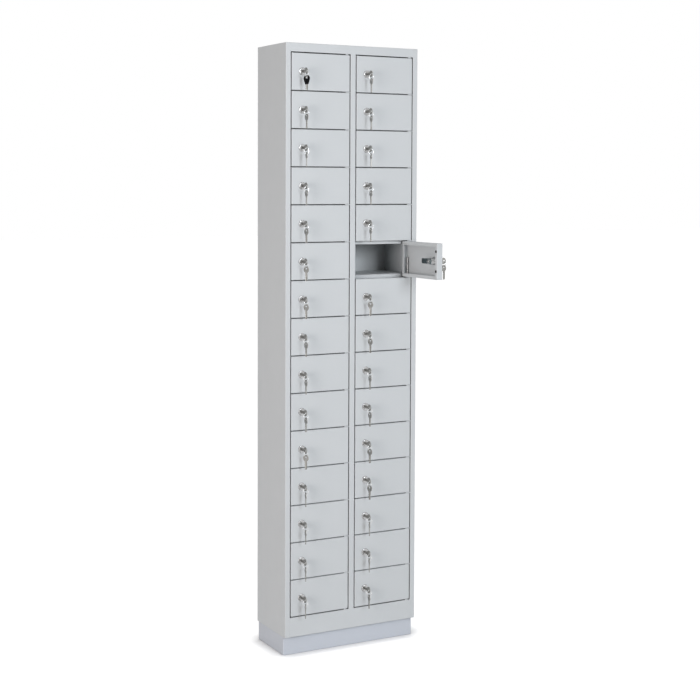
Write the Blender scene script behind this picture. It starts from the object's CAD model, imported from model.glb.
import math

import bmesh
import bpy
from mathutils import Matrix, Vector


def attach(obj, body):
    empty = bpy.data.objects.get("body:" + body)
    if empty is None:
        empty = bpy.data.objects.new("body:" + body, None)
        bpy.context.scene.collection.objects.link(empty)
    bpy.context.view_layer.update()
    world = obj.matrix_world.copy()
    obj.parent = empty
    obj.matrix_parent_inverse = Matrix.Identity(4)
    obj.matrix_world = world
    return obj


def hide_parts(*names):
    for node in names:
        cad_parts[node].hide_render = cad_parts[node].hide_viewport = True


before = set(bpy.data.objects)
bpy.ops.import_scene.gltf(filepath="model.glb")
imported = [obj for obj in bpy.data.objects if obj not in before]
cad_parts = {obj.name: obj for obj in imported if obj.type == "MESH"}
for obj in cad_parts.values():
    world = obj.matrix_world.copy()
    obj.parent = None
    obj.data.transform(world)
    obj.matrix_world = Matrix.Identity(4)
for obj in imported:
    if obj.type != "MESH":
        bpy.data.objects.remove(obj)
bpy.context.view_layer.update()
mm = 0.001

# Camera, floor and light
# The cabinet stands on a white studio floor and is seen from its left and from above the middle.
# A large soft light stands in front, a weaker one to the left, and the room is bright all round.
camera_place = Vector((-2068.0, -3930.6, 1436.8)) * mm
camera_yaw, camera_pitch, camera_roll = math.radians(28.257), math.radians(2.837), math.radians(0.224)
ahead = Vector((
    math.sin(camera_yaw) * math.cos(camera_pitch),
    math.cos(camera_yaw) * math.cos(camera_pitch),
    -math.sin(camera_pitch),
))
level = Vector((math.cos(camera_yaw), -math.sin(camera_yaw), 0))
upward = level.cross(ahead)
across = math.cos(camera_roll) * level + math.sin(camera_roll) * upward
upright = math.cos(camera_roll) * upward - math.sin(camera_roll) * level
camera = bpy.data.objects.new("camera", bpy.data.cameras.new("camera"))
camera.matrix_world = Matrix.Translation(camera_place) @ Matrix((across, upright, -ahead)).transposed().to_4x4()
camera.data.sensor_width = 36
camera.data.lens = 73.323
camera.data.shift_y = -0.1391
bpy.context.collection.objects.link(camera)
bpy.context.scene.camera = camera
bpy.context.scene.view_settings.view_transform = "Standard"


def reckoned(tree, operation, factor, amount):
    """A factor after one step of arithmetic with a number or with another factor."""
    step = tree.nodes.new("ShaderNodeMath")
    step.operation = operation
    step.use_clamp = True
    tree.links.new(factor, step.inputs[0])
    if isinstance(amount, (int, float)):
        step.inputs[1].default_value = amount
    else:
        tree.links.new(amount, step.inputs[1])
    return step.outputs[0]


def seen_directly(tree):
    """A factor that is 1 for what the camera sees directly, in a reflection or through something clear."""
    path = tree.nodes.new("ShaderNodeLightPath")
    total = path.outputs["Is Camera Ray"]
    for name in ("Is Glossy Ray", "Is Transmission Ray"):
        total = reckoned(tree, "ADD", total, path.outputs[name])
    return total


room = bpy.data.worlds.new("room")
room.use_nodes = True
bpy.context.scene.world = room
room_glow = room.node_tree.nodes["Background"]
room_glow.inputs["Color"].default_value = (1, 1, 1, 1)
room_glow.inputs["Strength"].default_value = 0.24
room_white = room.node_tree.nodes.new("ShaderNodeBackground")
room_white.inputs["Color"].default_value = (1, 1, 1, 1)
room_choice = room.node_tree.nodes.new("ShaderNodeMixShader")
room.node_tree.links.new(seen_directly(room.node_tree), room_choice.inputs["Fac"])
room.node_tree.links.new(room_glow.outputs[0], room_choice.inputs[1])
room.node_tree.links.new(room_white.outputs[0], room_choice.inputs[2])
room.node_tree.links.new(room_choice.outputs[0], room.node_tree.nodes["World Output"].inputs["Surface"])


def soft_light(name, place, aim, size, power, colour):
    """A square softbox that faces the point aim."""
    lamp = bpy.data.lights.new(name, "AREA")
    lamp.color = colour
    lamp.shape = "SQUARE"
    lamp.size = size
    lamp.energy = power
    holder = bpy.data.objects.new(name, lamp)
    holder.location = place
    holder.rotation_euler = (Vector(aim) - Vector(place)).to_track_quat("-Z", "Y").to_euler()
    bpy.context.collection.objects.link(holder)


soft_light("front_softbox", (0.4, -4.8, 2.2), (0, 0, 1.0), 1.4, 105, (0.914, 0.951, 1))
soft_light("left_softbox", (-3.32, -1.85, 1.3), (0, 0, 1.1), 1.6, 54, (1, 0.935, 0.92))

floor_half = 30
floor_white, corner_reach, corner_depth = 0.8, 60 * mm, 2
floor_mesh = bpy.data.meshes.new("floor")
floor_corners = [(right * floor_half, back * floor_half, 0) for right, back in ((-1, -1), (1, -1), (1, 1), (-1, 1))]
floor_mesh.from_pydata(floor_corners, [], [(0, 1, 2, 3)])
floor = bpy.data.objects.new("floor", floor_mesh)
bpy.context.collection.objects.link(floor)
floor_paint = bpy.data.materials.new("floor_paint")
floor_paint.use_nodes = True
floor_tree = floor_paint.node_tree
floor_tree.nodes["Principled BSDF"].inputs["Base Color"].default_value = (0.78, 0.78, 0.78, 1)
floor_tree.nodes["Principled BSDF"].inputs["Roughness"].default_value = 0.9
floor_glow = floor_tree.nodes.new("ShaderNodeEmission")
floor_sum = floor_tree.nodes.new("ShaderNodeAddShader")
floor_shade = floor_tree.nodes.new("ShaderNodeAmbientOcclusion")
floor_shade.inputs["Distance"].default_value = corner_reach
floor_depth = reckoned(floor_tree, "POWER", floor_shade.outputs["AO"], corner_depth)
floor_level = reckoned(floor_tree, "MULTIPLY", floor_depth, floor_white)
floor_tree.links.new(floor_level, floor_glow.inputs["Strength"])
floor_choice = floor_tree.nodes.new("ShaderNodeMixShader")
floor_tree.links.new(floor_tree.nodes["Principled BSDF"].outputs[0], floor_sum.inputs[0])
floor_tree.links.new(floor_glow.outputs[0], floor_sum.inputs[1])
floor_tree.links.new(seen_directly(floor_tree), floor_choice.inputs["Fac"])
floor_tree.links.new(floor_tree.nodes["Principled BSDF"].outputs[0], floor_choice.inputs[1])
floor_tree.links.new(floor_sum.outputs[0], floor_choice.inputs[2])
floor_tree.links.new(floor_choice.outputs[0], floor_tree.nodes["Material Output"].inputs["Surface"])
floor_mesh.materials.append(floor_paint)

# Plinth
# A rectangular frame of 2 mm steel with flanges turned inwards above and below, welded at its corners.
# It is powder coated a little darker than the cabinet and stands back from its front.
half_width = 227 * mm
half_depth = 100 * mm
plinth_top = 58 * mm
plinth_sheet = 2 * mm
plinth_fold = 2 * mm
plinth_flange = 24 * mm
plinth_width, plinth_depth = 451 * mm, 180 * mm
plinth_middle = Vector((0, 6 * mm, 0))
corner_steps = 4
corner_points = corner_steps + 3
corner_slit = 0.4 * mm
merge_distance = 0.001 * mm
shade_reach = 120 * mm


def noise(tree, scale, detail, stretch=(1, 1, 1)):
    """A noise of so many features to the metre, fixed to the piece."""
    place = tree.nodes.new("ShaderNodeTexCoord")
    squeeze = tree.nodes.new("ShaderNodeMapping")
    squeeze.inputs["Scale"].default_value = stretch
    grain = tree.nodes.new("ShaderNodeTexNoise")
    grain.inputs["Scale"].default_value = scale
    grain.inputs["Detail"].default_value = detail
    tree.links.new(place.outputs["Object"], squeeze.inputs["Vector"])
    tree.links.new(squeeze.outputs["Vector"], grain.inputs["Vector"])
    return grain.outputs["Fac"]


def between(tree, factor, low, high, least=0.3, most=0.7):
    """A number that goes from low to high as a factor goes from its least to its most."""
    span = tree.nodes.new("ShaderNodeMapRange")
    span.inputs["From Min"].default_value = least
    span.inputs["From Max"].default_value = most
    span.inputs["To Min"].default_value = low
    span.inputs["To Max"].default_value = high
    tree.links.new(factor, span.inputs["Value"])
    return span.outputs["Result"]


def tint(tree, factor, dark, light):
    """A colour that follows a factor from dark to light."""
    mix = tree.nodes.new("ShaderNodeMix")
    mix.data_type = "RGBA"
    mix.inputs["A"].default_value = (*dark, 1)
    mix.inputs["B"].default_value = (*light, 1)
    tree.links.new(factor, mix.inputs["Factor"])
    return mix.outputs["Result"]


def darkened(tree, colour, share):
    """A colour times a share or another colour."""
    mix = tree.nodes.new("ShaderNodeMix")
    mix.data_type = "RGBA"
    mix.blend_type = "MULTIPLY"
    mix.inputs["Factor"].default_value = 1
    tree.links.new(colour, mix.inputs["A"])
    tree.links.new(share, mix.inputs["B"])
    return mix.outputs["Result"]


def relief(tree, shader, height, strength, depth):
    """Small heights on a surface."""
    bump = tree.nodes.new("ShaderNodeBump")
    bump.inputs["Strength"].default_value = strength
    bump.inputs["Distance"].default_value = depth
    tree.links.new(height, bump.inputs["Height"])
    tree.links.new(bump.outputs["Normal"], shader.inputs["Normal"])


def powder_coat(name, colour, corner_shade=1):
    """Satin powder on steel: fine orange peel, a faint unevenness of colour and clouds of gloss.

    In closed corners the colour falls to its share corner_shade, for the deep shade of a compartment.
    """
    paint = bpy.data.materials.new(name)
    paint.use_nodes = True
    tree = paint.node_tree
    shader = tree.nodes["Principled BSDF"]
    dark = [c * 0.975 for c in colour]
    light = [min(c * 1.02, 1) for c in colour]
    colour_now = tint(tree, noise(tree, 14, 4), dark, light)
    if corner_shade < 1:
        closed_in = tree.nodes.new("ShaderNodeAmbientOcclusion")
        closed_in.inputs["Distance"].default_value = shade_reach
        share = between(tree, closed_in.outputs["AO"], corner_shade, 1, 0.12, 0.5)
        colour_now = darkened(tree, colour_now, share)
    tree.links.new(colour_now, shader.inputs["Base Color"])
    tree.links.new(between(tree, noise(tree, 40, 3), 0.36, 0.47), shader.inputs["Roughness"])
    relief(tree, shader, noise(tree, 700, 2), 0.25, 0.05 * mm)
    return paint


def rectangle_ring(width, height, inset, bend):
    """Points round a rectangle with bent corners, and a short straight on each side of a corner."""
    points = []
    for corner, (right, up) in enumerate(((1, 1), (-1, 1), (-1, -1), (1, -1))):
        middle = Vector((right * (width / 2 - inset - bend), up * (height / 2 - inset - bend)))
        turns = [(corner + step / corner_steps) * math.pi / 2 for step in range(corner_steps + 1)]
        arc = [middle + bend * Vector((math.cos(turn), math.sin(turn))) for turn in turns]
        before = arc[0] - corner_slit * Vector((-math.sin(turns[0]), math.cos(turns[0])))
        after = arc[-1] + corner_slit * Vector((-math.sin(turns[-1]), math.cos(turns[-1])))
        points += [before, *arc, after]
    return points


def loft(steel, rings, slit_bands=()):
    """Joins rings of points with faces. A band named in slit_bands is left open at its corners."""
    rows = [[steel.verts.new(point) for point in ring] for ring in rings]
    for band in range(len(rows) - 1):
        for side in range(len(rows[band])):
            if band in slit_bands and side % corner_points != corner_points - 1:
                continue
            beside = (side + 1) % len(rows[band])
            steel.faces.new((rows[band][side], rows[band][beside], rows[band + 1][beside], rows[band + 1][side]))
    return rows


def worked(name, steel, thickness=0, holes=(), rounding=0.2 * mm):
    """Gives a sheet its thickness, cuts holes with the meshes named, and rounds its edges."""
    mesh = bpy.data.meshes.new(name)
    bmesh.ops.remove_doubles(steel, verts=steel.verts, dist=merge_distance)
    bmesh.ops.recalc_face_normals(steel, faces=steel.faces)
    steel.to_mesh(mesh)
    steel.free()
    blank = bpy.data.objects.new(name, mesh)
    bpy.context.collection.objects.link(blank)
    if thickness:
        solid = blank.modifiers.new("thickness", "SOLIDIFY")
        solid.thickness = thickness
        solid.offset = 0
        solid.use_even_offset = True
    drills = []
    for hole in holes:
        drill = bpy.data.objects.new("drill", hole)
        bpy.context.collection.objects.link(drill)
        cut = blank.modifiers.new("hole", "BOOLEAN")
        cut.operation = "DIFFERENCE"
        cut.solver = "EXACT"
        cut.object = drill
        drills.append(drill)
    if rounding:
        edges = blank.modifiers.new("rounding", "BEVEL")
        edges.width = rounding
        edges.segments = 2
        edges.limit_method = "ANGLE"
        edges.angle_limit = math.radians(50)
        edges.use_clamp_overlap = True
    result = bpy.data.meshes.new_from_object(blank.evaluated_get(bpy.context.evaluated_depsgraph_get()))
    for used in (blank, *drills):
        bpy.data.objects.remove(used)
    return smoothed(name, result)


def smoothed(name, mesh):
    """Smooth shading that keeps flat faces flat and edges crisp."""
    mesh.shade_smooth()
    mesh.set_sharp_from_angle(angle=math.radians(40))
    blank = bpy.data.objects.new(name, mesh)
    bpy.context.collection.objects.link(blank)
    even = blank.modifiers.new("even", "WEIGHTED_NORMAL")
    even.keep_sharp = True
    even.weight = 100
    result = bpy.data.meshes.new_from_object(blank.evaluated_get(bpy.context.evaluated_depsgraph_get()))
    bpy.data.objects.remove(blank)
    result.name = name
    return result


def moved(mesh, matrix):
    """A copy of a mesh in another place."""
    copy = mesh.copy()
    copy.transform(matrix)
    return copy


def together(name, meshes):
    """One mesh from several, each at its own place."""
    blanks = []
    for mesh in meshes:
        blank = bpy.data.objects.new(name, mesh.copy())
        bpy.context.collection.objects.link(blank)
        blanks.append(blank)
    with bpy.context.temp_override(active_object=blanks[0], selected_editable_objects=blanks):
        bpy.ops.object.join()
    result = blanks[0].data.copy()
    bpy.data.objects.remove(blanks[0])
    result.name = name
    return result


def fitted(name, mesh, finish, body, nodes, place=Matrix()):
    """Puts a finished piece on the cabinet, on the body that carries it."""
    piece = bpy.data.objects.new(name, mesh)
    bpy.context.collection.objects.link(piece)
    if not mesh.materials:
        mesh.materials.append(finish)
    piece.matrix_world = place
    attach(piece, body)
    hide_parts(*nodes)
    return piece


def cylinder_mesh(radius, start, end, sides=32):
    """A plain round cutter or bar between two points."""
    start, end = Vector(start), Vector(end)
    bar = bmesh.new()
    bmesh.ops.create_cone(bar, cap_ends=True, segments=sides, radius1=radius, radius2=radius,
                          depth=(end - start).length)
    turn = (end - start).to_track_quat("Z", "Y").to_matrix().to_4x4()
    bmesh.ops.transform(bar, matrix=Matrix.Translation((start + end) / 2) @ turn, verts=bar.verts)
    mesh = bpy.data.meshes.new("bar")
    bar.to_mesh(mesh)
    bar.free()
    return mesh


def quarter_bend(depth, bend, outward):
    """Rings through a quarter bend as inset, depth and corner. Outward starts on the flat, else on the wall."""
    rings = []
    for step in range(corner_steps + 1):
        turn = step / corner_steps * math.pi / 2
        if not outward:
            turn = math.pi / 2 - turn
        rings.append((bend * (1 - math.sin(turn)), depth + bend * (1 - math.cos(turn)), bend * math.sin(turn)))
    return rings


screw_hole_radius = 4.1 * mm
screw_x, screw_rows = 212.5 * mm, (-24 * mm, 36 * mm)
screw_places = [Vector((side * screw_x, y, 0)) for side in (-1, 1) for y in screw_rows]
# The drills pass through the plinth's upper flange and the bottom panel's flange on it.
screw_drills = [
    cylinder_mesh(screw_hole_radius, *(place + Vector((0, 0, plinth_top + reach)) for reach in (-8 * mm, 4 * mm)))
    for place in screw_places
]
plinth_steel = bmesh.new()
half_sheet = plinth_sheet / 2
levels = [(plinth_flange - half_sheet, half_sheet, 0)]
levels += quarter_bend(half_sheet, plinth_fold, True)
levels += [
    (inset, plinth_top - depth, bend)
    for inset, depth, bend in quarter_bend(half_sheet, plinth_fold, False)
]
levels += [(plinth_flange - half_sheet, plinth_top - half_sheet, 0)]
loft(plinth_steel, [
    [
        plinth_middle + Vector((point.x, point.y, height))
        for point in rectangle_ring(plinth_width - plinth_sheet, plinth_depth - plinth_sheet, inset, bend)
    ]
    for inset, height, bend in levels
])
plinth_mesh = worked("plinth", plinth_steel, plinth_sheet, screw_drills)
plinth_paint = powder_coat("plinth_powder_coat", (0.60, 0.635, 0.69))
fitted("plinth_base", plinth_mesh, plinth_paint, "carcass", ["plinth_frame"])

# Plinth screws and nuts
# Four zinc-plated hexagon screws hold the body to the plinth's flanges, each with a nut underneath.
# Their heads stand on the bottom panel's flanges, inside the foot.
hexagon_flats = 13 * mm
screw_head_height = 5 * mm
screw_pitch, screw_groove = 1.25 * mm, 0.5 * mm
hair = 0.01 * mm
fit_gap = 2 * hair
screw_shank_radius = 4 * mm
screw_shank_length = 10 * mm
nut_height = 6 * mm


def metal(name, colour, low_gloss, high_gloss, grain_scale, stretch, strength):
    """Plated metal with the fine lines of its making."""
    plate = bpy.data.materials.new(name)
    plate.use_nodes = True
    tree = plate.node_tree
    shader = tree.nodes["Principled BSDF"]
    shader.inputs["Metallic"].default_value = 1
    dark = [c * 0.9 for c in colour]
    light = [min(c * 1.06, 1) for c in colour]
    tree.links.new(tint(tree, noise(tree, grain_scale / 4, 3), dark, light), shader.inputs["Base Color"])
    gloss = between(tree, noise(tree, grain_scale, 3, stretch), low_gloss, high_gloss)
    tree.links.new(gloss, shader.inputs["Roughness"])
    relief(tree, shader, noise(tree, grain_scale, 2, stretch), strength, 0.03 * mm)
    return plate


def circle(radius, sides=48, middle=(0, 0)):
    """Points round a circle."""
    turns = [2 * math.pi * side / sides for side in range(sides)]
    return [(middle[0] + radius * math.cos(turn), middle[1] + radius * math.sin(turn)) for turn in turns]


def hexagon(flats):
    """Corners of a hexagon, given the distance across its flats."""
    return circle(flats / math.sqrt(3), 6)


def plate(name, outlines, thickness, rounding=0.2 * mm):
    """A flat plate from 0 to its thickness in Z, cut to the first outline, with the others as holes."""
    curve = bpy.data.curves.new(name, "CURVE")
    curve.dimensions = "2D"
    curve.fill_mode = "BOTH"
    curve.extrude = thickness / 2 - rounding
    curve.bevel_depth = rounding
    curve.bevel_resolution = 1
    curve.offset = -rounding
    for outline in outlines:
        line = curve.splines.new("POLY")
        line.points.add(len(outline) - 1)
        line.use_cyclic_u = True
        for point, (across_it, along_it) in zip(line.points, outline):
            point.co = (across_it, along_it, 0, 1)
    blank = bpy.data.objects.new(name, curve)
    bpy.context.collection.objects.link(blank)
    mesh = bpy.data.meshes.new_from_object(blank.evaluated_get(bpy.context.evaluated_depsgraph_get()))
    bpy.data.objects.remove(blank)
    steel = bmesh.new()
    steel.from_mesh(mesh)
    bmesh.ops.remove_doubles(steel, verts=steel.verts, dist=merge_distance)
    bmesh.ops.recalc_face_normals(steel, faces=steel.faces)
    bmesh.ops.translate(steel, verts=steel.verts, vec=(0, 0, thickness / 2))
    steel.to_mesh(mesh)
    steel.free()
    return smoothed(name, mesh)


def turned(name, profile, sides=40, closed=False):
    """A turned part about the Y axis, from points of radius and depth."""
    metal_part = bmesh.new()
    rows = []
    for radius, depth in profile:
        if radius == 0:
            rows.append([metal_part.verts.new((0, depth, 0))])
            continue
        rows.append([metal_part.verts.new((x, depth, z)) for x, z in circle(radius, sides)])
    pairs = list(zip(rows, rows[1:])) + ([(rows[-1], rows[0])] if closed else [])
    for one, other in pairs:
        for side in range(sides):
            beside = (side + 1) % sides
            corners = [
                one[side % len(one)], one[beside % len(one)], other[beside % len(other)], other[side % len(other)]
            ]
            corners = [corner for place, corner in enumerate(corners) if corner not in corners[:place]]
            metal_part.faces.new(corners)
    bmesh.ops.recalc_face_normals(metal_part, faces=metal_part.faces)
    mesh = bpy.data.meshes.new(name)
    metal_part.to_mesh(mesh)
    metal_part.free()
    return smoothed(name, mesh)


def thread(radius, start, end, pitch, groove):
    """Profile of a threaded length: a crest and a root to each pitch."""
    count = max(2, round((end - start) / pitch))
    points = []
    for turn in range(count):
        points += [
            (radius, start + (end - start) * (turn + 0.25) / count),
            (radius - groove, start + (end - start) * (turn + 0.75) / count),
        ]
    return [(radius - groove, start), *points, (radius - groove, end)]


quarter_turn = Matrix.Rotation(math.radians(90), 4, "X")
screw_shank = moved(
    turned("shank", [
        (0, 0), *thread(screw_shank_radius, hair, screw_shank_length, screw_pitch, screw_groove),
        (0, screw_shank_length),
    ], 24),
    quarter_turn.inverted(),
)
screw_head = plate("head", [hexagon(hexagon_flats)], screw_head_height, 0.5 * mm)
flange_thickness = 1 * mm
head_level = plinth_top + flange_thickness
screw_mesh = together("plinth_screw", [
    part for place in screw_places for part in (
        moved(screw_head, Matrix.Translation(place + Vector((0, 0, head_level)))),
        moved(screw_shank, Matrix.Translation(place + Vector((0, 0, head_level)))),
    )
])
nut_blank = plate("nut", [hexagon(hexagon_flats), circle(screw_shank_radius + fit_gap)], nut_height, 0.4 * mm)
nut_mesh = together("plinth_nut", [
    moved(nut_blank, Matrix.Translation(place + Vector((0, 0, plinth_top - plinth_sheet - nut_height))))
    for place in screw_places
])
zinc = metal("bright_zinc", (0.62, 0.63, 0.62), 0.24, 0.38, 900, (1, 1, 1), 0.15)
fitted("plinth_screw_set", screw_mesh, zinc, "carcass", ["plinth_screws"])
fitted("plinth_nut_set", nut_mesh, zinc, "carcass", ["plinth_nuts"])

# Side panels
# Each side is a sheet of 1 mm steel with the front stile and its return folded on, run to the back's edge.
# The left one, on the lock side of its column, also has the lip that the cams catch behind.
sheet = 1 * mm
body_top = 1850 * mm
sheet_fold = 1 * mm
fold_outside = sheet_fold + sheet / 2
foot_edge = 118 * mm
head_edge = 1823.5 * mm
stile_inner = 210.5 * mm
return_back = -78 * mm
fold_steps = 4


def folded_line(corners, bend=sheet_fold):
    """The middle line of a folded sheet: straight runs with an arc at each corner that turns."""
    points = [Vector(corners[0])]
    for before, corner, after in zip(corners, corners[1:], corners[2:]):
        before, corner, after = Vector(before), Vector(corner), Vector(after)
        arriving, leaving = (corner - before).normalized(), (after - corner).normalized()
        if arriving.dot(leaving) > 0.99:
            points.append(corner)
            continue
        middle = corner - arriving * bend + leaving * bend
        for step in range(fold_steps + 1):
            turn = step / fold_steps * math.pi / 2
            points.append(middle - leaving * bend * math.cos(turn) + arriving * bend * math.sin(turn))
    return points + [Vector(corners[-1])]


def folded_sheet(steel, line, cuts, place, keep):
    """Faces along a folded line and across it at the cuts. keep says which of them the blank has."""
    grid = [[steel.verts.new(place(point, cut)) for point in line] for cut in cuts]
    for row in range(len(cuts) - 1):
        level = (cuts[row] + cuts[row + 1]) / 2
        for column in range(len(line) - 1):
            if keep((line[column] + line[column + 1]) / 2, level):
                steel.faces.new([
                    grid[row][column], grid[row][column + 1], grid[row + 1][column + 1], grid[row + 1][column]
                ])
    bmesh.ops.delete(steel, geom=[vert for vert in steel.verts if not vert.link_faces], context="VERTS")


def side_keep(point, level):
    """Which parts of a left side panel's blank there are: point is seen from above, level is the height."""
    if point.x > -stile_inner:
        return foot_edge < level < head_edge
    if point.x > -stile_inner - fold_outside:
        return foot_edge - fold_outside < level < head_edge + fold_outside
    if point.x > -half_width + fold_outside and point.y < 0:
        return level < body_top - fold_outside
    return True


paint = powder_coat("cabinet_powder_coat", (0.63, 0.655, 0.665), 0.3)
side_levels = [
    plinth_top, foot_edge - fold_outside, foot_edge, head_edge, head_edge + fold_outside, body_top - fold_outside,
    body_top,
]
face_middle, side_middle = -half_depth + sheet / 2, -half_width + sheet / 2
return_middle, lip_middle, lip_end = -211 * mm, -78.5 * mm, -198.5 * mm
for side, name in ((1, "left"), (-1, "right")):
    lip = [(lip_end, lip_middle), (return_middle, lip_middle)] if side == 1 else [(return_middle, return_back)]
    side_line = folded_line(lip + [
        (return_middle, face_middle), (side_middle, face_middle), (side_middle, half_depth),
    ])
    side_steel = bmesh.new()
    folded_sheet(side_steel, side_line, side_levels, lambda point, level: (side * point.x, point.y, level), side_keep)
    fitted(name + "_side_sheet", worked(name, side_steel, sheet), paint, "carcass",
           [name + "_side_panel", name + "_stile"])

# Back panel
# A flat sheet between the edges of the two sides and flush with them, welded along its edges.
# Four round holes take the screws that hold the cabinet to a wall.
back_half_width = 226 * mm
back_front = 99 * mm
anchor_radius = 4.5 * mm
anchor_x = 166 * mm
anchor_levels = (209.5 * mm, 1760 * mm)
back_mesh = plate(
    "back",
    [
        [
            (-back_half_width, plinth_top), (back_half_width, plinth_top),
            (back_half_width, body_top), (-back_half_width, body_top),
        ],
        *[circle(anchor_radius, 32, (x, level)) for x in (-anchor_x, anchor_x) for level in anchor_levels],
    ],
    sheet,
)
back_mesh = moved(back_mesh, Matrix.Translation((0, back_front + sheet, 0)) @ quarter_turn)
fitted("back_sheet", back_mesh, paint, "carcass", ["back_panel"])

# Bottom panel
# One sheet that makes the foot rail at the front, the floor of the lowest compartments and the back of the foot.
# Its lower flanges stand on the plinth and are screwed to it.
stile_middle_flat = 7.5 * mm
flange_inner = 200.5 * mm


def rail_end(depth):
    """How far a rail reaches: over the stile's fold in its face, and up to the stile behind it."""
    return stile_inner if depth > -half_depth + fold_outside else stile_inner + fold_outside


def bottom_keep(point, x):
    """Which parts of the bottom panel's blank there are: point holds depth and height."""
    depth, level = point
    x = abs(x)
    if depth < return_back and level > foot_edge - fold_outside:
        return stile_middle_flat < x < rail_end(depth)
    if depth < return_back:
        return x < stile_inner + fold_outside
    return True


flange_middle, floor_middle = plinth_top + sheet / 2, foot_edge - sheet / 2
front_flange_end, back_flange_end, back_middle = -58.5 * mm, 73.5 * mm, 98.5 * mm
bottom_line = folded_line([
    (front_flange_end, flange_middle), (return_back, flange_middle), (face_middle, flange_middle),
    (face_middle, floor_middle), (return_back, floor_middle), (back_middle, floor_middle),
    (back_middle, flange_middle), (back_flange_end, flange_middle),
])
bottom_cuts = sorted(
    side * x for side in (-1, 1)
    for x in (back_half_width, stile_inner + fold_outside, stile_inner, flange_inner, stile_middle_flat)
)
bottom_steel = bmesh.new()
folded_sheet(bottom_steel, bottom_line, bottom_cuts, lambda point, x: (x, point.x, point.y), bottom_keep)
for side in (-1, 1):
    cuts = [side * x for x in (back_half_width, stile_inner + fold_outside, stile_inner, flange_inner)]
    folded_sheet(
        bottom_steel, [Vector((end, flange_middle)) for end in (front_flange_end, back_flange_end)], cuts,
        lambda point, x: (x, point.x, point.y), lambda point, x: True,
    )
bottom_mesh = worked("bottom", bottom_steel, sheet, screw_drills)
fitted("bottom_sheet", bottom_mesh, paint, "carcass", ["bottom_panel"])

# Top panel
# One sheet that makes the flat top, the head rail across the front and the return under it.
# The head rail is welded between the stiles and ground flush, so no joint shows.
rail_return_back = -80 * mm


def top_keep(point, x):
    """Which parts of the top panel's blank there are: point holds depth and height."""
    depth, level = point
    x = abs(x)
    if level < head_edge + fold_outside:
        return stile_middle_flat < x < rail_end(depth)
    if level < body_top - fold_outside:
        return x < stile_inner + fold_outside
    return True


top_steel = bmesh.new()
top_line = folded_line([
    (rail_return_back, head_edge + sheet / 2), (face_middle, head_edge + sheet / 2),
    (face_middle, body_top - sheet / 2), (back_front, body_top - sheet / 2),
])
top_cuts = sorted(
    side * x for side in (-1, 1)
    for x in (back_half_width, stile_inner + fold_outside, stile_inner, stile_middle_flat)
)
folded_sheet(top_steel, top_line, top_cuts, lambda point, x: (x, point.x, point.y), top_keep)
fitted("top_sheet", worked("top", top_steel, sheet), paint, "carcass", ["top_panel"])

# Centre partition
# The middle stile is a folded channel with a stop lip for the right column's cams, welded to head and foot.
# A flat sheet behind it parts the two columns as far as the back.
def stile_keep(point, level):
    """Which parts of the middle stile's blank there are: its face runs on over the two rails' folds."""
    if abs(point.x) < stile_middle_flat and point.y < -half_depth + fold_outside:
        return True
    return foot_edge < level < head_edge


def wall_keep(point, level):
    """The partition's sheet is cut away behind the head rail."""
    return level < head_edge or point.y > rail_return_back


stile_steel = bmesh.new()
stile_middle, stile_lip_end = 8.5 * mm, 21 * mm
stile_line = folded_line([
    (-stile_middle, return_back), (-stile_middle, face_middle), (stile_middle, face_middle),
    (stile_middle, lip_middle), (stile_lip_end, lip_middle),
])
stile_levels = [foot_edge - fold_outside, foot_edge, head_edge, head_edge + fold_outside]
folded_sheet(stile_steel, stile_line, stile_levels, lambda point, level: (point.x, point.y, level), stile_keep)
wall_line = [Vector((0, y)) for y in (-half_depth + sheet, rail_return_back, back_front)]
folded_sheet(
    stile_steel, wall_line, [foot_edge, head_edge, body_top - sheet],
    lambda point, level: (point.x, point.y, level), wall_keep,
)
stile_mesh = worked("partition", stile_steel, sheet)
fitted("partition_sheet", stile_mesh, paint, "carcass", ["centre_partition"])

# Shelves and their rails
# Each compartment's floor is a flat sheet, spot welded to the walls, with a folded channel under its front edge.
# The channels lie behind the gaps between the doors and close them to prying.
rows = 15
pitch = 113.5 * mm
first_gap = 1822 * mm
shelf_width = 225.5 * mm
shelf_front = -76 * mm
shelf_rise = 10 * mm


def gap_level(line):
    """Height of the gap's middle above the row of that number."""
    return first_gap - line * pitch


shelf_sheet = plate(
    "shelf",
    [[(0, shelf_front), (shelf_width, shelf_front), (shelf_width, back_front), (0, back_front)]],
    sheet,
)
rail_steel = bmesh.new()
rail_back, rail_face, rail_high, rail_low = -65 * mm, -75.5 * mm, 8.5 * mm, -9.5 * mm
rail_line = folded_line([
    (rail_back, rail_high), (rail_face, rail_high), (rail_face, rail_low), (rail_back, rail_low),
])
folded_sheet(rail_steel, rail_line, [0, shelf_width], lambda point, x: (x, point.x, point.y), lambda point, x: True)
rail_sheet = worked("rail", rail_steel, sheet)
for name, start in (("left", -back_half_width), ("right", sheet / 2)):
    shelf_mesh = together("shelves_" + name, [
        moved(shelf_sheet, Matrix.Translation((start, 0, gap_level(line) + shelf_rise - sheet)))
        for line in range(1, rows)
    ])
    fitted("shelf_sheets_" + name, shelf_mesh, paint, "carcass", ["shelves_" + name])
    rail_mesh = together("rails_" + name, [
        moved(rail_sheet, Matrix.Translation((start, 0, gap_level(line)))) for line in range(1, rows)
    ])
    fitted("shelf_channels_" + name, rail_mesh, paint, "carcass", ["shelf_rails_" + name])

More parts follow.
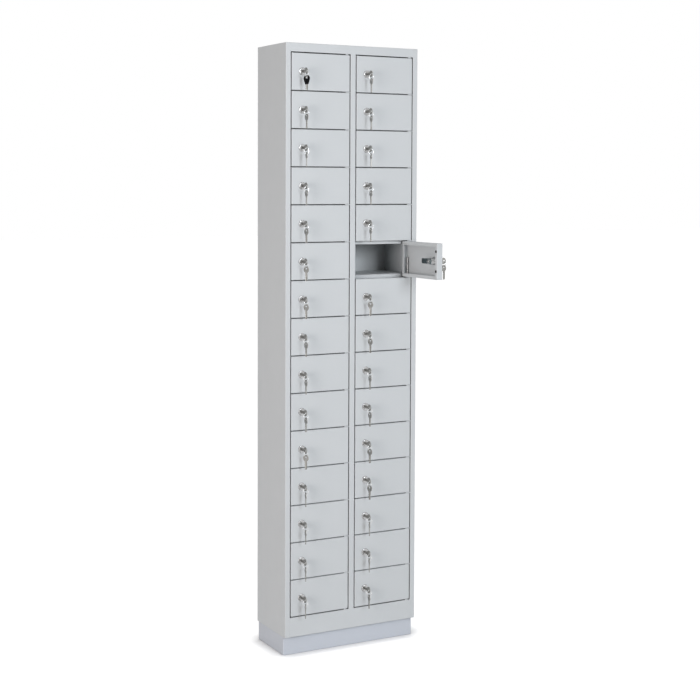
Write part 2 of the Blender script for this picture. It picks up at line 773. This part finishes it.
# Hinge lugs and pins
# A steel lug is welded to the stile in each gap between two doors, with shorter ones at the head and foot.
# A zinc-plated pin through each lug carries the door above it and steadies the one below.
lug_depth = 16 * mm
lug_thickness = 2.4 * mm
lug_width = 16.5 * mm
end_lug_width = 8 * mm
end_lug_thickness = 2.7 * mm
pin_radius = 2.5 * mm
pin_head_radius = 4 * mm
pin_head_height, pin_head_edge = 2 * mm, 0.7 * mm
pin_chamfer, small_edge = 0.5 * mm, 0.3 * mm
collar_radius, collar_height, collar_drop = 4.5 * mm, 3 * mm, 15 * mm
pin_inset, lug_nose = 4.5 * mm, 1.5 * mm
pin_below, pin_above = 9.5 * mm, 61.5 * mm
top_pin_below, foot_pin_above = 11 * mm, 63 * mm
pin_y = -94 * mm
hinge_x = {"left": -21 * mm, "right": 198.5 * mm}


def lug(width, thickness):
    """A flat lug with the pin's hole, from its free end."""
    outline = [
        (lug_nose, 0), (width, 0), (width, lug_depth),
        (lug_nose, lug_depth), (0, lug_depth - lug_nose), (0, lug_nose),
    ]
    pin_hole = circle(pin_radius + fit_gap, 24, (pin_inset, pin_y + half_depth))
    return plate("lug", [outline, pin_hole], thickness, 0.25 * mm)


def hinge_pin(low, high, headed):
    """A round pin with chamfered ends and, on most, a flat head and a collar under it."""
    profile = [(0, low), (pin_radius - pin_chamfer, low), (pin_radius, low + pin_chamfer)]
    if headed:
        collar = high - collar_drop
        collar_top, head_foot = collar + collar_height, high - pin_head_height
        profile += [
            (pin_radius, collar), (collar_radius - 0.2 * mm, collar), (collar_radius, collar + small_edge),
            (collar_radius, collar_top - small_edge), (collar_radius - 0.2 * mm, collar_top),
            (pin_radius, collar_top),
            (pin_radius, head_foot), (pin_head_radius - small_edge, head_foot),
            (pin_head_radius, head_foot + small_edge), (pin_head_radius, high - pin_head_edge),
            (pin_head_radius - pin_head_edge, high), (0, high),
        ]
    else:
        profile += [(pin_radius, high - pin_chamfer), (pin_radius - pin_chamfer, high), (0, high)]
    return moved(turned("pin", profile, 24), quarter_turn)


pin_zinc = metal("pin_zinc", (0.30, 0.30, 0.295), 0.3, 0.45, 900, (1, 1, 1), 0.15)
long_lug, end_lug = lug(lug_width, lug_thickness), lug(end_lug_width, end_lug_thickness)
for name, pin_x in hinge_x.items():
    corner = Vector((pin_x - pin_inset, -half_depth, 0))
    lug_mesh = together("lugs_" + name, [
        moved(long_lug, Matrix.Translation(corner + Vector((0, 0, gap_level(line) - lug_thickness / 2))))
        for line in range(1, rows)
    ] + [
        moved(end_lug, Matrix.Translation(corner + Vector((0, 0, head_edge - end_lug_thickness)))),
        moved(end_lug, Matrix.Translation(corner + Vector((0, 0, foot_edge)))),
    ])
    fitted("lug_set_" + name, lug_mesh, paint, "carcass", ["hinge_lugs_" + name])
    middle = Vector((pin_x, pin_y, 0))
    pin_mesh = together("pins_" + name, [
        moved(hinge_pin(-pin_below, pin_above, True), Matrix.Translation(middle + Vector((0, 0, gap_level(line)))))
        for line in range(1, rows)
    ] + [
        moved(hinge_pin(-top_pin_below, 0, False), Matrix.Translation(middle + Vector((0, 0, head_edge)))),
        moved(hinge_pin(0, foot_pin_above, True), Matrix.Translation(middle + Vector((0, 0, foot_edge)))),
    ])
    fitted("pin_set_" + name, pin_mesh, pin_zinc, "carcass", ["hinge_pins_" + name])

# Doors
# Each door is a pan folded from one sheet, with a lip turned in round its back and slits at the lip's corners.
# It hangs on its pins at the right, and two rubber buffers on the lip meet the stop lip of the stile.
door_width, door_height, door_depth = 195.5 * mm, 110.5 * mm, 20 * mm
door_lip = 11 * mm
door_left = {"left": -207.5 * mm, "right": 12 * mm}
open_row = 6
open_turn = math.radians(92)
lock_x, lock_z = 35 * mm, 55.25 * mm
barrel_radius = 9.5 * mm
door_pin_x, door_pin_y = 186.5 * mm, 6 * mm
door_hole_radius = 2.6 * mm
buffer_radius, buffer_thickness, buffer_spread = 4.5 * mm, 0.9 * mm, 30 * mm
door_gap = 3 * mm


def door_coat():
    """The doors' powder coat, a little lighter or darker on each door."""
    paint = powder_coat("door_powder_coat", (0.635, 0.66, 0.67))
    tree = paint.node_tree
    shader = tree.nodes["Principled BSDF"]
    one = tree.nodes.new("ShaderNodeObjectInfo")
    shade = tint(tree, one.outputs["Random"], (0.985, 0.985, 0.985), (1, 1, 1))
    mixed = darkened(tree, shader.inputs["Base Color"].links[0].from_socket, shade)
    tree.links.new(mixed, shader.inputs["Base Color"])
    return paint


door_steel = bmesh.new()
half_sheet = sheet / 2
door_levels = quarter_bend(half_sheet, sheet_fold, True)
door_levels += [
    (inset, door_depth - depth, bend) for inset, depth, bend in quarter_bend(half_sheet, sheet_fold, False)
]
door_levels += [(door_lip - half_sheet, door_depth - half_sheet, 0)]
loft(door_steel, [
    [
        Vector((point.x + door_width / 2, depth, point.y + door_height / 2))
        for point in rectangle_ring(door_width - sheet, door_height - sheet, inset, bend)
    ]
    for inset, depth, bend in door_levels
], slit_bands=[len(door_levels) - 2])
bmesh.ops.remove_doubles(door_steel, verts=door_steel.verts, dist=merge_distance)
front_edge = [
    edge for edge in door_steel.edges
    if edge.is_boundary and all(abs(v.co.y - half_sheet) < merge_distance for v in edge.verts)
]
hole_verts = [
    door_steel.verts.new((lock_x + x, half_sheet, lock_z + z)) for x, z in circle(barrel_radius + 0.05 * mm, 40)
]
hole_edge = [door_steel.edges.new(pair) for pair in zip(hole_verts, hole_verts[1:] + hole_verts[:1])]
bmesh.ops.triangle_fill(door_steel, edges=front_edge + hole_edge, use_beauty=True, use_dissolve=False)
door_mesh = worked("door_pan", door_steel, sheet, [
    cylinder_mesh(
        door_hole_radius, (door_pin_x, door_pin_y, -door_gap), (door_pin_x, door_pin_y, door_height + door_gap), 24
    )
])
door_paint = door_coat()

buffer_mesh = turned("buffer", [
    (0, 0), (buffer_radius, 0), (buffer_radius, 0.5 * mm), (buffer_radius - 0.15 * mm, 0.75 * mm),
    (buffer_radius - 0.5 * mm, buffer_thickness), (0, buffer_thickness),
], 32)
buffer_pair = together("buffer_pair", [
    moved(buffer_mesh, Matrix.Translation((door_lip / 2, door_depth + fit_gap, door_height / 2 + rise)))
    for rise in (-buffer_spread, buffer_spread)
])


def simple_finish(name, colour, low_gloss, high_gloss, grain_scale, strength, shine=0.5):
    """Rubber or moulded plastic with a fine grain."""
    finish = bpy.data.materials.new(name)
    finish.use_nodes = True
    tree = finish.node_tree
    shader = tree.nodes["Principled BSDF"]
    shader.inputs["Specular IOR Level"].default_value = shine
    light = [c * 1.6 for c in colour]
    tree.links.new(tint(tree, noise(tree, grain_scale / 3, 3), colour, light), shader.inputs["Base Color"])
    tree.links.new(between(tree, noise(tree, grain_scale, 2), low_gloss, high_gloss), shader.inputs["Roughness"])
    relief(tree, shader, noise(tree, grain_scale, 3), strength, 0.05 * mm)
    return finish


rubber = simple_finish("buffer_rubber", (0.012, 0.012, 0.012), 0.6, 0.8, 1500, 0.3)


class Door:
    """Where one door stands, and which bodies and nodes its pieces belong to."""

    def __init__(self, side, row):
        self.open = side == "right" and row == open_row
        self.row = row
        self.side = side
        self.name = "open_door" if self.open else f"door_{side}_{row:02d}"
        corner = Vector((door_left[side], -half_depth, gap_level(row) + door_gap / 2))
        self.place = Matrix.Translation(corner)
        if self.open:
            pin = Matrix.Translation((hinge_x[side], pin_y, 0))
            self.place = pin @ Matrix.Rotation(open_turn, 4, "Z") @ pin.inverted() @ self.place

    def fit(self, part, mesh, finish, slot, open_body, open_node, place=Matrix()):
        """Fits a piece of the door at its place on the door."""
        body = open_body if self.open else self.name
        node = open_node if self.open else self.name
        return fitted(f"{self.name}_{part}", mesh, finish, body, [node], self.place @ place)


doors = [Door(side, row) for side in ("left", "right") for row in range(1, rows + 1)]
for door in doors:
    door.fit("pan", door_mesh, door_paint, "painted_steel", "open_door", "open_door")
    door.fit("buffer_pair", buffer_pair, rubber, "black_rubber", "open_door", "open_door_buffers")

# Locks
# A cam lock sits in each door: a threaded barrel with a round chromed face, held by a nut from behind.
# The key turns the plug in it, and the plug's tail carries the zinc-plated cam under a smaller nut.
at_lock = Matrix.Translation((lock_x, 0, lock_z))
face_radius, face_height = 11.4 * mm, 3.5 * mm
barrel_length = 22 * mm
plug_radius = 6.5 * mm
plug_front = -3 * mm
plug_tail_radius = 4 * mm
cam_depth = 22.3 * mm
cam_thickness = 2 * mm
cam_width, cam_reach, cam_tail = 16 * mm, 43 * mm, 9 * mm
cam_nut_height = 5 * mm
tail_end = cam_depth + cam_thickness + cam_nut_height + 1 * mm
barrel_nut_flats, barrel_nut_height = 24 * mm, 5 * mm
cam_nut_flats = 13 * mm
key_thickness, blade_width = 2 * mm, 8 * mm
slot_gap = 0.2 * mm
slot_end = 17 * mm
thread_groove = 0.4 * mm

bore = plug_radius + 0.05 * mm
barrel_mesh = turned("barrel", [
    (bore, -face_height + 0.3 * mm), (bore + 0.3 * mm, -face_height), (face_radius - 1.5 * mm, -face_height),
    (face_radius - 0.5 * mm, -face_height + 0.4 * mm), (face_radius, -face_height + 1.3 * mm),
    (face_radius, -0.3 * mm), (face_radius - 0.3 * mm, -fit_gap), (barrel_radius - thread_groove, -fit_gap),
    *thread(barrel_radius, 0.2 * mm, barrel_length - 0.5 * mm, 1.2 * mm, thread_groove),
    (barrel_radius - 0.8 * mm, barrel_length), (bore, barrel_length),
], 48, closed=True)


def crosswise(name, outlines, near, far, rounding=0.2 * mm):
    """A plate that lies across the lock's axis, from one depth to another."""
    return moved(plate(name, outlines, far - near, rounding), Matrix.Translation((0, far, 0)) @ quarter_turn)


barrel_nut_mesh = crosswise(
    "barrel_nut", [hexagon(barrel_nut_flats), circle(barrel_radius + fit_gap)],
    sheet + fit_gap, sheet + fit_gap + barrel_nut_height, 0.5 * mm,
)
slot_x, slot_z = key_thickness / 2 + slot_gap, blade_width / 2 + slot_gap
plug_slotted = crosswise(
    "plug", [circle(plug_radius), [(-slot_x, -slot_z), (slot_x, -slot_z), (slot_x, slot_z), (-slot_x, slot_z)]],
    plug_front, slot_end, 0.3 * mm,
)
plug_back = turned("plug_back", [
    (0, slot_end + fit_gap), (plug_radius, slot_end + fit_gap), (plug_radius, cam_depth),
    *thread(plug_tail_radius, cam_depth + hair, tail_end - 0.4 * mm, screw_pitch, thread_groove),
    (plug_tail_radius - 0.8 * mm, tail_end), (0, tail_end),
], 32)
plug_mesh = together("plug", [plug_slotted, plug_back])
cam_nose = 3 * mm
cam_half = cam_width / 2
cam_outline = [
    (-cam_tail + cam_nose, -cam_half), (cam_reach - cam_nose, -cam_half), (cam_reach, -cam_half + cam_nose),
    (cam_reach, cam_half - cam_nose), (cam_reach - cam_nose, cam_half), (-cam_tail + cam_nose, cam_half),
    (-cam_tail, cam_half - cam_nose), (-cam_tail, -cam_half + cam_nose),
]
tail_hole = circle(plug_tail_radius + fit_gap, 32)
cam_front = cam_depth + fit_gap
cam_back = cam_front + cam_thickness
cam_mesh = crosswise("cam", [cam_outline, tail_hole], cam_front, cam_back, 0.3 * mm)
cam_nut_mesh = crosswise(
    "cam_nut", [hexagon(cam_nut_flats), tail_hole], cam_back + fit_gap, cam_back + fit_gap + cam_nut_height, 0.4 * mm
)
chrome = metal("lock_chrome", (0.42, 0.42, 0.42), 0.16, 0.26, 1200, (1, 1, 1), 0.05)
cam_zinc = metal("blue_zinc", (0.20, 0.24, 0.25), 0.3, 0.42, 900, (1, 1, 1), 0.15)
for door in doors:
    door.fit("barrel", barrel_mesh, chrome, "chrome_plate", "open_door", "open_lock_barrel", at_lock)
    door.fit("barrel_nut", barrel_nut_mesh, zinc, "zinc_plate", "open_door", "open_lock_nut", at_lock)
    door.fit("plug", plug_mesh, chrome, "chrome_plate", "open_lock", "open_lock_plug", at_lock)
    door.fit("cam", cam_mesh, cam_zinc, "zinc_plate", "open_lock", "open_lock_cam", at_lock)
    door.fit("cam_nut", cam_nut_mesh, zinc, "zinc_plate", "open_lock", "open_cam_nut", at_lock)

# Keys and rings
# One key of each pair stands in its lock, and a small split ring through its head carries the spare.
# The keys are stamped from 2 mm sheet, milled with a groove and four cuts, and plated with nickel.
key_head_radius = 10 * mm
key_out = 25.5 * mm
blade_length = 24.5 * mm
key_hole_radius, key_hole_offset = 3.2 * mm, 3.5 * mm
cut_width, cut_depth, cut_slope, cut_pitch, cut_count = 3 * mm, 1.6 * mm, 0.6 * mm, 5 * mm, 4
key_tip = 2 * mm
groove_far, groove_near, groove_depth = -1.6 * mm, -0.4 * mm, 0.45 * mm
ring_radius, wire_radius = 7.5 * mm, 0.9 * mm
wire_drop = key_hole_radius - wire_radius - 0.2 * mm
ring_level = -wire_drop - ring_radius
spare_level = ring_level - ring_radius - wire_drop - key_hole_offset
# How far each door's ring has swung round by hand, in degrees, from the top row down.
ring_turns = {
    "left": (20, 2, -11, -3, 8, 21, 21, 5, -3, -1, 25, -14, -14, -14, -18),
    "right": (-5, -5, -14, -5, -8, 20, 25, 15, -3, 2, 15, 15, -19, -19, -8),
}


def key_outline():
    """A key from the middle of its head, with its blade downwards and its cuts on one side."""
    half = blade_width / 2
    foot = -key_head_radius - blade_length
    shoulder = -math.sqrt(key_head_radius ** 2 - half ** 2)
    start = math.atan2(shoulder, half)
    end = math.atan2(shoulder, -half) + 2 * math.pi
    head = []
    for step in range(41):
        turn = start + (end - start) * step / 40
        head.append((key_head_radius * math.cos(turn), key_head_radius * math.sin(turn)))
    edge = [(-half, foot + key_tip), (-half + key_tip, foot), (half - key_tip, foot), (half, foot + 1.6 * mm)]
    for cut in range(1, cut_count + 1):
        low = foot + cut * cut_pitch - cut_width
        high = low + cut_width
        edge += [(half, low), (half - cut_depth, low + cut_slope), (half - cut_depth, high - cut_slope), (half, high)]
    return head + edge


def box_mesh(low, high):
    """A plain cutter between two corners."""
    block = bmesh.new()
    bmesh.ops.create_cube(block, size=1)
    low, high = Vector(low), Vector(high)
    bmesh.ops.scale(block, vec=high - low, verts=block.verts)
    bmesh.ops.translate(block, vec=(low + high) / 2, verts=block.verts)
    mesh = bpy.data.meshes.new("cutter")
    block.to_mesh(mesh)
    block.free()
    return mesh


key_blank = bmesh.new()
key_blank.from_mesh(plate(
    "key", [key_outline(), circle(key_hole_radius, 32, (0, key_hole_offset))], key_thickness, 0.25 * mm
))
groove = [
    box_mesh(
        (groove_far, -key_head_radius - blade_length - 1 * mm, low), (groove_near, -key_head_radius + 1 * mm, high)
    )
    for low, high in ((-1 * mm, groove_depth), (key_thickness - groove_depth, key_thickness + 1 * mm))
]
key_plate = worked("key", key_blank, 0, groove, 0)


def on_edge(thickness):
    """Stands a flat plate up in the plane across X, with its middle at X = 0."""
    return Matrix(((0, 0, 1, -thickness / 2), (1, 0, 0, 0), (0, 1, 0, 0), (0, 0, 0, 1)))


hanging_key = moved(key_plate, on_edge(key_thickness))
inserted_key = moved(hanging_key, Matrix.Translation((0, -key_out, 0)) @ quarter_turn)


def split_ring():
    """Two turns of spring wire side by side, with the ends stepped past each other."""
    sides, steps, turns = 10, 96, 1.9
    wire = wire_radius / 2
    steel = bmesh.new()
    rows = []
    for step in range(steps + 1):
        turn = 2 * math.pi * turns * step / steps + math.radians(40)
        way = Vector((math.cos(turn), 0, math.sin(turn)))
        lane = max(-1, min(1, (step / steps - 0.5) * 9)) * wire
        middle = way * ring_radius + Vector((0, lane, 0))
        rows.append([
            steel.verts.new(middle + wire * (way * math.cos(a) * 1.5 + Vector((0, math.sin(a), 0))))
            for a in (2 * math.pi * side / sides for side in range(sides))
        ])
    for one, other in zip(rows, rows[1:]):
        for side in range(sides):
            beside = (side + 1) % sides
            steel.faces.new((one[side], one[beside], other[beside], other[side]))
    steel.faces.new(rows[0])
    steel.faces.new(rows[-1])
    bmesh.ops.recalc_face_normals(steel, faces=steel.faces)
    mesh = bpy.data.meshes.new("split_ring")
    steel.to_mesh(mesh)
    steel.free()
    return smoothed("split_ring", mesh)


key_metal = metal("key_nickel", (0.30, 0.295, 0.28), 0.3, 0.42, 600, (1, 1, 0.15), 0.25)
ring_metal = metal("ring_steel", (0.60, 0.60, 0.60), 0.2, 0.3, 900, (1, 1, 1), 0.1)
ring_mesh = split_ring()
at_ring = at_lock @ Matrix.Translation((0, -key_out - key_hole_offset, 0))


def hang_on(door):
    """The place of a door's ring, turned about the vertical as it hangs."""
    return at_ring @ Matrix.Rotation(math.radians(ring_turns[door.side][door.row - 1]), 4, "Z")


for door in doors:
    hang = hang_on(door)
    door.fit("key", inserted_key, key_metal, "key_nickel", "open_lock", "open_key", at_lock)
    door.fit("key_ring", ring_mesh, ring_metal, "zinc_plate", "open_ring", "open_key_ring",
             hang @ Matrix.Translation((0, 0, ring_level)))
    door.fit("spare_key", hanging_key, key_metal, "key_nickel", "open_spare", "open_spare_key",
             hang @ Matrix.Translation((0, 0, spare_level)))

# Plastic cover
# The first door's spare key has a black moulded cover that wraps its head and draws in to the blade.
# It grips both faces of the key and is open at the top, where the ring passes.
cover_thickness = 5 * mm
cover_wall = 1 * mm
cover_radius = key_head_radius + cover_wall
cover_slot = 5 * mm
cover_neck = 6 * mm
cover_foot = -cover_radius - cover_neck
neck_half = blade_width / 2 + cover_wall
slot_floor = key_hole_offset - key_hole_radius
arm_top = math.sqrt(cover_radius ** 2 - cover_slot ** 2)
neck_corner = Vector((neck_half, cover_foot))
lean = math.atan2(neck_corner.y, neck_corner.x) + math.acos(cover_radius / neck_corner.length)
cover_right = [(cover_slot, slot_floor), (cover_slot, arm_top)]
arm_turn = math.atan2(arm_top, cover_slot)
cover_right += [
    (cover_radius * math.cos(turn), cover_radius * math.sin(turn))
    for turn in (arm_turn + (lean - arm_turn) * step / 20 for step in range(1, 21))
]
cover_right += [(neck_half, cover_foot)]
cover_outline = cover_right + [(-x, y) for x, y in reversed(cover_right)]
cover_blank = bmesh.new()
cover_blank.from_mesh(plate("cover", [cover_outline], cover_thickness, 0.8 * mm))
key_gap = 0.1 * mm
face_gap = 0.02 * mm
inside = (cover_thickness - key_thickness) / 2
key_room = moved(
    plate("room", [circle(key_head_radius + key_gap, 64)], key_thickness + 2 * face_gap, 0.001 * mm),
    Matrix.Translation((0, 0, inside - face_gap)),
)
blade_room = box_mesh(
    (-blade_width / 2 - key_gap, -2 * cover_radius, inside - face_gap),
    (blade_width / 2 + key_gap, 0, inside + key_thickness + face_gap),
)
cover_mesh = worked("cover", cover_blank, 0, [key_room, blade_room], 0)
cover_mesh = moved(cover_mesh, on_edge(cover_thickness))
black_plastic = simple_finish("cover_plastic", (0.002, 0.002, 0.0025), 0.5, 0.65, 900, 0.15, 0.08)
first = doors[0]
fitted("spare_key_plastic", cover_mesh, black_plastic, first.name, ["spare_key_cover"],
       first.place @ hang_on(first) @ Matrix.Translation((0, 0, spare_level)))
